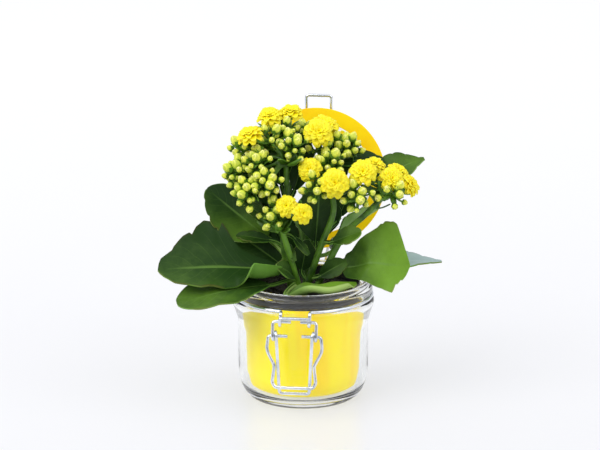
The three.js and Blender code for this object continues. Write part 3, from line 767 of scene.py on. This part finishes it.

# Leaves
# face is the way the upper face looks, rise arches the leaf and fold lifts its sides. blunt rounds the end, sweep
# bows it sideways, and lobes and lobeDepth scallop the margin. roll turns one side over: degrees, which side, from
# which share of the half width, between which shares of the length. ridge bends it across: height, place, reach.
# tone is its brightness at the stalk, at the tip and gained across, partly its own tone and partly painted light and
# shade. near and far are its half widths by share.

leafShape = dict(steps=96, rows=18, thickness=1.1, stalkHalf=1.6, midrib=1.5, ribReach=0.7, wave=0.05,
                 crease=0.8, creaseHalf=1.6)
leaves = {
    "left_big": dict(
        foot=(-10, -5, 8), tip=(-103, -28, 14), face=(0.05, -0.6, 0.8), rise=3, fold=0.22, stalk=0.06,
        near=[(0.06, 8), (0.11, 17), (0.24, 27), (0.32, 28), (0.39, 24), (0.43, 21), (0.53, 22.5), (0.62, 20),
              (0.72, 21.5), (0.8, 18), (0.9, 14), (0.965, 7.5), (0.99, 3.5), (1, 0.5)],
        far=[(0.06, 3), (0.17, 6), (0.26, 8.6), (0.37, 15), (0.41, 20), (0.47, 31), (0.525, 39.5), (0.555, 36.3),
             (0.617, 37.8), (0.68, 33), (0.72, 26.5), (0.735, 28), (0.79, 24.6), (0.865, 17.5), (0.88, 14.5),
             (0.97, 8.8), (0.993, 4), (1, 0.5)],
        lobes=7, lobeDepth=0.5, roll=(130, 1, 0.24, 0.06, 0.33), tone=(-0.05, 0.16, 0.08),
    ),
    "left_low": dict(
        foot=(-12, -14, 0), tip=(-89, -43, -7), width=40, widest=0.55, face=(0, -0.25, 0.97), sweep=5, rise=7,
        fold=0.1, blunt=0.5, lobes=5, lobeDepth=0.8, tone=(0.1, 0.4, 0),
    ),
    "left_high": dict(
        foot=(-17, 8, 20), tip=(-69, 11, 63), width=39, face=(-0.4, -0.75, 0.5), fold=0.3, blunt=0.62, lobes=7,
        lobeDepth=1.6, tone=(0.5, 0.08, 0.18),
    ),
    "left_small": dict(
        foot=(-19, 1, 27), tip=(-48, 2, 31), width=10, face=(-0.2, -0.6, 0.75), rise=1, lobes=4,
        tone=(0, 0.15, 0),
    ),
    "left_narrow": dict(
        foot=(-19, -8, 40), tip=(-44, -10, 61), width=10, widest=0.4, face=(-0.3, -0.8, 0.4), rise=1,
        tone=(0.3, 0.3, 0),
    ),
    "middle": dict(
        foot=(8, 8, 16), tip=(12, 6, 72), width=34, face=(0.1, -0.95, 0.2), rise=3, fold=0.3, lobes=6,
        lobeDepth=1.0, tone=(0, 0.2, 0),
    ),
    "mouth": dict(
        foot=(-17, -27, -6), tip=(38, -14, 0), width=21, face=(0, -0.3, 0.95), sweep=-7, rise=1, fold=0.1,
        stalk=0.1, roll=(150, -1, 0.2, 0.05, 0.85), ridge=(5, 0.42, 0.16), tone=(0.4, 1.3, 0),
    ),
    "right_small": dict(
        foot=(17, -10, 28), tip=(41, -17, 39), width=15, widest=0.55, face=(0.1, -0.6, 0.7), rise=1, blunt=0.6,
        lobes=4, lobeDepth=0.7, tone=(0.2, 0.5, 0),
    ),
    "right_big": dict(
        foot=(20, -2, 7), tip=(76, -14, 13), face=(0.2, -0.8, 0.55), rise=4, fold=0.12,
        near=[(0.16, 9), (0.28, 11), (0.42, 18.5), (0.65, 30), (0.67, 29.5), (0.7, 31.5), (0.8, 32),
              (0.84, 30.5), (0.9, 20), (0.965, 8), (1, 1)],
        far=[(0.16, 7), (0.28, 9.5), (0.42, 13), (0.65, 18), (0.8, 21.5), (0.84, 14.5), (0.86, 15), (0.9, 11),
             (0.92, 11.5), (0.965, 7), (1, 1)],
        lobes=6, lobeDepth=0.4, ridge=(6, 0.55, 0.15), tone=(0.22, 0.84, 0),
    ),
    "right_far": dict(
        foot=(18, 12, 2), tip=(100, 22, 6), width=30, widest=0.45, face=(0, -0.15, 1), blunt=1.15, rise=3,
        fold=0.15, lobes=9, lobeDepth=1.2, tone=(0.2, 0.3, 0), finish="leafPale",
    ),
    "right_high": dict(
        foot=(44, 21, 62), tip=(87, 32, 80), width=27, widest=0.42, face=(0.2, -0.5, 0.84), blunt=1.25, rise=3,
        fold=0.25, lobes=6, lobeDepth=0.9,
    ),
    "back_left": dict(
        foot=(-13, 14, 6), tip=(-66, 42, 30), width=44, widest=0.42, face=(-0.3, 0.5, 0.8), rise=5, fold=0.3,
        lobes=6, lobeDepth=1.8,
    ),
    "back_middle": dict(
        foot=(0, 18, 6), tip=(-6, 54, 34), width=38, widest=0.42, face=(0, 0.5, 0.85), rise=5, fold=0.3,
        lobes=5, lobeDepth=1.6, tone=(0.2, 0.5, 0),
    ),
    "back_right": dict(
        foot=(16, 18, 8), tip=(54, 48, 38), width=40, widest=0.42, face=(0.3, 0.6, 0.75), rise=4, fold=0.3,
        lobes=6, lobeDepth=1.6,
    ),
}


innerLeaves = {  # small leaves among the stems: foot, tip, width, face, tone, lobes, rise, widest; their dark tones are painted shade among the stems
    "low_left": ((-10, 4, 4), (-51, 14, 31), 33, (-0.2, -0.7, 0.6), (0, 0.15), 5, 3, 0.5),
    "back_left": ((-4, 10, 4), (-26, 16, 46), 30, (-0.2, -0.9, 0.3), (-0.1, 0.1), 5, 3, 0.5),
    "high_left": ((-14, 2, 48), (-46, 10, 84), 20, (-0.5, -0.7, 0.5), (-0.1, 0.1), 4, 2, 0.5),
    "high_back": ((4, 22, 50), (34, 30, 98), 26, (0.2, -0.9, 0.4), (-0.1, 0.05), 5, 2, 0.5),
    "high_middle": ((-8, 4, 58), (2, 10, 92), 15, (0, -0.95, 0.3), (-0.1, 0.05), 3, 2, 0.5),
    "low_right": ((8, -4, 0), (32, -4, 14), 14, (0.2, -0.8, 0.5), (0.1, 0.3), 4, 2, 0.5),
    "low_middle": ((-2, 4, 0), (3, 4, 27), 18, (0, -1, 0.2), (-0.1, 0.1), 3, 1, 0.5),
    "mid_left": ((-14, 4, 38), (-34, 14, 76), 20, (-0.2, -0.9, 0.3), (-0.1, 0.1), 4, 2, 0.55),
    "mid_right": ((24, 2, 40), (35, 10, 68), 15, (0.1, -0.9, 0.2), (-0.1, 0.1), 3, 2, 0.55),
    "fan_left": ((-14, 4, 60), (-22, 10, 104), 24, (-0.1, -1, 0.1), (-0.1, 0), 4, 2, 0.55),
    "fan_right": ((-10, 6, 62), (0, 12, 104), 22, (0.1, -1, 0.1), (-0.1, 0), 4, 2, 0.55),
    "low_front": ((-4, -8, 1), (-19, -24, 16), 15, (-0.1, -0.7, 0.7), (0, 0.25), 3, 2, 0.55),
    "node_left": ((-14, -4, 30), (-6, -16, 17), 6, (0.2, -0.9, 0.3), (0.1, 0.3), 0, 1, 0.5),
    "node_middle": ((-8, -8, 34), (4, -14, 21), 5.5, (0.2, -0.9, 0.3), (0.1, 0.25), 0, 1, 0.5),
    "high_right": ((10, 26, 76), (58, 28, 80), 15, (0.1, -0.6, 0.8), (-0.1, 0.05), 4, 3, 0.6),
}


def smooth(value, low, high):
    t = min(max((value - low) / (high - low), 0), 1)
    return t * t * (3 - 2 * t)


def nearestOnStems(point):
    return min((p for line in stemLines.values() for p in line), key=lambda p: (p - point).length)


class LeafForm:  # a leaf's blade in millimetres: share runs from stalk to tip, across from -1 to 1
    def __init__(self, foot, tip, face, tone=(0.2, 0.4, 0), rise=2, fold=0.2, width=0, widest=0.5, blunt=0.85,
                 sweep=0, lobes=0, lobeDepth=None, roll=None, ridge=None, near=None, far=None, stalk=0.16,
                 finish="leafTop"):
        self.start, self.end = place(foot) / mm, place(tip) / mm
        self.axis = self.end - self.start
        self.ahead = self.axis.normalized()
        self.side = facingOf(face).cross(self.ahead).normalized()
        self.up = self.ahead.cross(self.side)
        self.width, self.widest, self.blunt, self.stalk, self.edges = width, widest, blunt, stalk, (near, far)
        self.rise, self.fold, self.sweep, self.tone, self.finish = rise, fold, sweep, tone, finish
        self.lobes, self.lobeDepth = lobes, 0.2 * lobes if lobeDepth is None else lobeDepth
        self.roll, self.ridge = roll, ridge
        self.root = nearestOnStems(place(foot)) / mm - Vector((0, 0, 3))

    def full(self, share, side):  # half width before the lobes
        edge = self.edges[0 if side > 0 else 1]
        if edge:
            (a, first), (b, second) = next(pair for pair in zip(edge, edge[1:]) if share <= pair[1][0] + 1e-6)
            t = (share - a) / (b - a)
            return first * (1 - t) + second * t
        along = ((share - self.stalk) / (1 - self.stalk)) ** (log(0.5) / log(self.widest))
        return 1.2 + (self.width / 2 - 1.2) * sin(pi * min(along, 1)) ** (self.blunt if along > 0.5 else 0.85)

    def half(self, share, side):
        if share < self.stalk:
            return leafShape["stalkHalf"]
        notch = 1 - abs(sin(pi * (self.lobes * share + (0.4 if side > 0 else 0))))
        full = self.full(share, side) * smooth(share, self.stalk - 0.05, self.stalk + 0.05)
        return max(full - self.lobeDepth * notch ** 2 * smooth(share, 0.3, 0.5) * smooth(share, 1.0, 0.92), 0.3)

    def along(self, share):
        return self.start + self.axis * share + self.side * self.sweep * sin(pi * share)

    def middle(self, share):  # the midrib's line, bent down to the stem at its foot
        if share >= self.stalk:
            return self.along(share)
        end = self.along(self.stalk)
        pull = (end - self.root).length * 0.4
        rising = self.root + Vector((0, 0, pull * 0.6))
        return bezierPoint(self.root, rising, end - self.ahead * pull, end, share / self.stalk)

    def lift(self, share, across, half):
        side = abs(across)
        made = self.rise * sin(pi * share) + half * sin(self.fold) * side ** 1.3
        wave = leafShape["wave"] * side ** 3 * sin(share * 17 + (2 if across > 0 else 0))
        made += half * wave * smooth(share, 0.2, 0.4)
        crease = leafShape["crease"] * exp(-(across * half / leafShape["creaseHalf"]) ** 2)
        made -= crease * smooth(share, 0.9, 0.4) * smooth(share, 0.1, 0.3)
        if self.ridge:
            height, centre, reach = self.ridge
            made += height * exp(-((share - centre + 0.12 * side) / reach) ** 2)
        return made

    def rolled(self, share, across, half):  # how far out and up the blade is, once its margin is turned over
        out = half * abs(across)
        if not self.roll:
            return out, 0
        degreesOver, edge, start, low, high = self.roll
        angle = radians(degreesOver) * smooth(share, low - 0.1, low) * smooth(share, high + 0.12, high)
        if across * edge < start or angle < 0.05:
            return out, 0
        loose, bend = half * (1 - start), angle * (abs(across) - start) / (1 - start)
        return half * start + loose * sin(bend) / angle, loose * (1 - cos(bend)) / angle

    def point(self, share, across, drop=0.0):
        half = self.half(share, across)
        out, over = self.rolled(share, across, half)
        place = self.middle(share) + self.side * (out if across > 0 else -out) * cos(self.fold)
        return (place + self.up * (self.lift(share, across, half) + over - drop)) * mm

    def shape(self, flat):  # from a flat square sheet
        share, across = flat.x + 0.5, flat.y * 2
        # Brightness along and across the blade: partly the leaf's own tone, partly painted light and shade where it
        # turns towards or away from the light.
        start, end, gained = self.tone
        tone = start + (end - start) * smooth(share, 0.2, 0.85) + gained * across
        return self.point(share, across), (share, across, tone)


def leafPiece(name, form):
    bpy.ops.mesh.primitive_grid_add(x_subdivisions=leafShape["steps"], y_subdivisions=leafShape["rows"], size=1)
    piece = bpy.context.object
    piece.name = name
    shapePoints(piece, "leafRun", form.shape)
    for finish in (form.finish, "leafUnder"):
        piece.data.materials.append(finishes[finish])
    thickness = leafShape["thickness"] * mm
    useModifier(piece, "SOLIDIFY", thickness=thickness, offset=-1, material_offset=1, material_offset_rim=1)
    shares = [leafShape["ribReach"] * i / 30 for i in range(31)]
    midrib = [form.point(s, 0, leafShape["thickness"]) for s in shares]
    rib = tubes(name + "Rib", [(midrib, [(leafShape["midrib"] * (1 - s) ** 1.2) * mm for s in shares])])
    evenRun(rib, "leafRun", (0.1, 0.5, form.tone[0] + 0.2))
    rib.data.materials.append(finishes["leafUnder"])
    made = gather(name, [piece, rib])
    only(made)
    bpy.ops.object.shade_smooth_by_angle(angle=radians(50))
    return made


for name, leaf in leaves.items():
    finishPiece(leafPiece(pieceName("leaf", name), LeafForm(**leaf)), "leafTop", node="leaf_" + name)
for name, (foot, tip, width, face, tone, lobes, rise, widest) in innerLeaves.items():
    form = LeafForm(foot, tip, face, (*tone, 0), rise, width=width, widest=widest, lobes=lobes)
    finishPiece(leafPiece(pieceName("innerLeaf", name), form), "leafTop")
print("leaves made")

# Buds and flowers: one bud, calyx, bract and petal are modelled and then copied.


def shapeModel(shape, finish, thickness=0, offset=-1):  # shapes the primitive just added
    piece = bpy.context.object
    shapePoints(piece, "headRun", shape)
    piece.data.materials.append(finishes[finish])
    if thickness:
        useModifier(piece, "SOLIDIFY", thickness=thickness, offset=offset)
    only(piece)
    bpy.ops.object.shade_smooth()
    return piece


def budShape(point):  # an egg whose furled petals twist together at the tip
    turn = Matrix.Rotation(1.1 * smooth(point.z, 0, 1), 3, "Z")
    bearing = Vector((point.x, point.y)).angle_signed(Vector((1, 0)), 0)
    fold = smooth(point.z, -0.1, 0.7) * (0.5 - 0.5 * cos(4 * bearing))
    slim = (1 - 0.22 * fold) * (1 - 0.18 * smooth(point.z, 0.2, 1))
    made = turn @ Vector((point.x * slim, point.y * slim, point.z * 1.22))
    return made, ((point.z + 1) / 2, 0.5, fold)


def calyxTemplate():  # a star-shaped cup of four pointed sepals
    bpy.ops.mesh.primitive_circle_add(vertices=8, radius=0.3, location=(0, 0, -1.3))
    piece = bpy.context.object
    bpy.ops.object.mode_set(mode="EDIT")
    bpy.ops.mesh.select_all(action="SELECT")
    for rise, scale in ((0.4, 3.2), (0.45, 1.12)):
        bpy.ops.mesh.extrude_edges_move(TRANSFORM_OT_translate={"value": (0, 0, rise)})
        bpy.ops.transform.resize(value=(scale, scale, 1))
    bpy.ops.object.mode_set(mode="OBJECT")
    bpy.ops.object.transform_apply(location=True)
    for vertex in piece.data.vertices[16:]:
        if vertex.index % 2:
            vertex.co.z += 0.55
            vertex.co.xy *= 0.98
        else:
            vertex.co.z -= 0.35
    evenRun(piece)
    useModifier(piece, "SOLIDIFY", thickness=0.12, offset=1)
    piece.data.materials.append(finishes["stem"])
    return piece


bract = dict(width=0.17, hollow=0.1, bend=0.12, thickness=0.05)
petal = dict(width=0.3, cup=0.14, arch=0.16, reflex=0.14, thickness=0.04)


def bractShape(point):  # one unit long, along +Z
    across, share = point.x * 2, point.y + 0.5
    half = 0.03 + (bract["width"] - 0.03) * sin(pi * share ** 0.85) ** 0.8
    bow = bract["bend"] * sin(pi * share) - bract["hollow"] * across ** 2 * sin(pi * share)
    return (across * half, bow, share), (0, 0.5, 0)


def petalShape(point):  # one unit long, along +Y, upper face up
    across, share = point.x * 2, point.y + 0.5
    half = petal["width"] * (0.25 + 0.75 * sin(pi * min(share ** 1.5, 0.9)) ** 0.7)
    half *= 1 - smooth(share, 0.85, 1.0) * 0.25
    height = petal["arch"] * sin(pi * share) - petal["reflex"] * share ** 3
    height += petal["cup"] * across ** 2 * (1 - 0.5 * share)
    return (across * half, share, height), (share, 0.5, across)


bpy.ops.mesh.primitive_uv_sphere_add(segments=12, ring_count=7, radius=1, location=(0, 0, 0))
budModel = shapeModel(budShape, "bud")
calyxModel = calyxTemplate()
bpy.ops.mesh.primitive_grid_add(x_subdivisions=2, y_subdivisions=5, size=1, location=(0, 0, 0))
bractModel = shapeModel(bractShape, "stem", bract["thickness"], 0)
bpy.ops.mesh.primitive_grid_add(x_subdivisions=4, y_subdivisions=6, size=1, location=(0, 0, 0))
petalModel = shapeModel(petalShape, "petal", petal["thickness"])


def towards(facing):  # turns Z to face that way
    return facing.to_track_quat("Z", "Y").to_matrix()


def leaning(facing, lean, bearing):
    return towards(facing) @ Vector((sin(lean) * cos(bearing), sin(lean) * sin(bearing), cos(lean)))


def aimed(place, facing, size, turn=0.0):
    turned = towards(facing).to_4x4() @ Matrix.Rotation(turn, 4, "Z")
    return Matrix.Translation(place) @ turned @ Matrix.Scale(size, 4)


def stalks(name, runs, radius):
    piece = tubes(name, [(points, radius * mm) for points in runs], 1)
    evenRun(piece)
    piece.data.materials.append(finishes["stem"])
    return piece


def bractsAt(foot, facing, count, lengths, draw):
    made = []
    for i in range(count):
        lean, bearing = radians(draw.uniform(25, 80)), 2 * pi * (i + draw.random()) / count
        way = leaning(facing, lean, bearing)
        size = draw.uniform(*lengths) * mm
        made.append(placeCopy(bractModel, aimed(foot, way, size, draw.uniform(0, 2 * pi))))
    return made


def sprayPiece(name, spec, draw):
    foot, facing = headFoot(spec, head["budReach"]), facingOf(spec[2])
    outer, inner = round(spec[3] * head["extraBuds"]), round(spec[3] * head["innerBuds"])
    pieces, runs = [], []
    for i in range(outer + inner):
        young = i >= outer
        count, number = (inner, i - outer) if young else (outer, i)
        lean = radians(head["spread"] + (16 if young else 0)) * sqrt((number + 0.4) / count)
        bearing = number * goldenAngle + (1 if young else 0)
        way = leaning(facing, lean, bearing)
        size = (draw.uniform(1.4, 2.1) if young else 3.2 - 0.55 * (i % 3) + draw.uniform(-0.3, 0.3)) * mm
        reach = (head["budReach"] + 1.4 - 2.0 * (i % 2) + draw.uniform(-0.8, 0.8)) * (0.72 if young else 1) * mm
        centre = foot + way * reach
        outward = (way * 0.8 + facing * 0.2 + Vector((0, 0, 0.15))).normalized()
        budPlace = aimed(centre, outward, size, draw.uniform(0, pi))
        own = draw.uniform(0, 0.3) if young else draw.uniform(0.4, 1)
        pieces += [placeCopy(budModel, budPlace, own), placeCopy(calyxModel, budPlace, own)]
        end = centre - outward * size * 1.2
        runs.append(bezier(foot, foot + facing * reach * 0.35, end - outward * reach * 0.3, end, 4))
    pieces += bractsAt(foot, facing, head["bracts"] + 2, (8, 13), draw)
    return gather(name, [*pieces, stalks("stalks", runs, 0.65)])


# Whorls of a double flower from the outside in: petals, lean from the middle in degrees, length, start height.
whorls = [(9, 88, 1.0, 0.0), (8, 74, 1.0, 0.25), (8, 60, 0.92, 0.5), (7, 47, 0.8, 0.8), (6, 33, 0.66, 1.1),
          (4, 18, 0.52, 1.4)]


def addFlower(name, spec, draw):
    middle, facing, radius = place(spec[1]), facingOf(spec[2]), spec[3]
    base = middle - facing * 2.6 * mm
    toward = aimed(base, facing, 1)
    pieces = []
    for row, (count, lean, length, height) in enumerate(whorls):
        for i in range(count):
            bearing = 2 * pi * (i + 0.5 * (row % 2)) / count + draw.uniform(-0.12, 0.12)
            tilt = radians(90 - lean + draw.uniform(-7, 7))
            size = radius * length * draw.uniform(0.92, 1.05) * mm
            turn = Matrix.Rotation(bearing, 4, "Z") @ Matrix.Translation((0, 0.4 * mm, height * mm))
            lay = Matrix.Rotation(tilt, 4, "X") @ Matrix.Rotation(draw.uniform(-0.2, 0.2), 4, "Y")
            pieces.append(placeCopy(petalModel, toward @ turn @ lay @ Matrix.Scale(size, 4), draw.random()))
    pieces.append(placeCopy(calyxModel, aimed(base, facing, 2.6 * mm)))
    foot = headFoot(spec, head["flowerStalk"])
    pieces.append(stalks("stalks", [[foot, (foot + base) / 2, base]], 0.8))
    pieces += bractsAt(foot, facing, head["bracts"], (7, 12), draw)
    piece = gather(pieceName("flower", name), pieces)
    finishPiece(piece, "petal", node="flower_" + name)


draw = random.Random(11)
for name, spec in sprays.items():
    finishPiece(sprayPiece(pieceName("buds", name), spec, draw), "bud", node="bud_spray_" + name)
for name, spec in innerSprays.items():
    finishPiece(sprayPiece(pieceName("innerBuds", name), spec, draw), "bud")
for name, spec in flowers.items():
    addFlower(name, spec, draw)
for name, line in stemLines.items():
    piece = gather(pieceName("forkLeaves", name), bractsAt(line[-1], Vector((0, 0, 1)), 7, (14, 24), draw))
    finishPiece(piece, "stem")
for model in (budModel, calyxModel, petalModel, bractModel):
    bpy.data.objects.remove(model)
print("buds and flowers made")

# Studio

studio = dict(size=8, floor=(0.35, 0.35, 0.362), glow=(0.43, 0.435, 0.455), top=1.0, horizon=0.6, front=0.16,
              seen=0.96)
lamps = [dict(place=(-1.1, -0.9, 1.6), size=1.6, watts=24), dict(place=(1.3, -0.5, 1.2), size=1.4, watts=7)]
lit = (0, 0, 0.1)  # where the lamps point


def addStudio(size, floor, glow, top, horizon, front, seen):
    bpy.ops.mesh.primitive_plane_add(size=size, location=(0, 0, 0))
    ground = bpy.context.object
    ground.name = "floor"
    f = Finish("floorPale", Roughness=0.3, Emission_Strength=1.0)
    away = f.node("ShaderNodeSeparateXYZ", {}, {0: f.place}, "Y").step(-0.4, 1.2)
    f.set({"Emission Color": f.mix(away, (*glow, 1), (*[c + 0.12 for c in glow], 1))})
    f.set({"Base Color": f.mix(f.noise(3).step(0.4, 0.6) * 0.3, (*floor, 1), (*[c * 0.97 for c in floor], 1))})
    ground.data.materials.append(f.material)
    sky = Sky("studio")
    height = sky.node("ShaderNodeSeparateXYZ", {}, {0: sky.place}, "Z")
    facing = sky.node("ShaderNodeSeparateXYZ", {}, {0: sky.place}, "Y")
    low = sky.mix(facing.step(-0.3, -0.9), (*[horizon * c for c in (0.97, 0.985, 1)], 1), (*[front] * 3, 1))
    around = sky.mix(height.step(0.05, 0.8), low, (*[top] * 3, 1))
    direct = sky.node("ShaderNodeLightPath", {}, {}, "Is Camera Ray")
    sky.set({"Color": sky.mix(direct, around, (seen, seen, seen * 1.01, 1)), "Strength": 1.0})


def addLamp(place, size, watts):
    bpy.ops.object.light_add(type="AREA", location=place)
    lamp = bpy.context.object
    lamp.rotation_euler = (Vector(lit) - lamp.location).to_track_quat("-Z", "Y").to_euler()
    lamp.data.size = size
    lamp.data.energy = watts


addStudio(**studio)
for lamp in lamps:
    addLamp(**lamp)
bpy.context.scene.view_settings.view_transform = "Standard"
print("studio made")
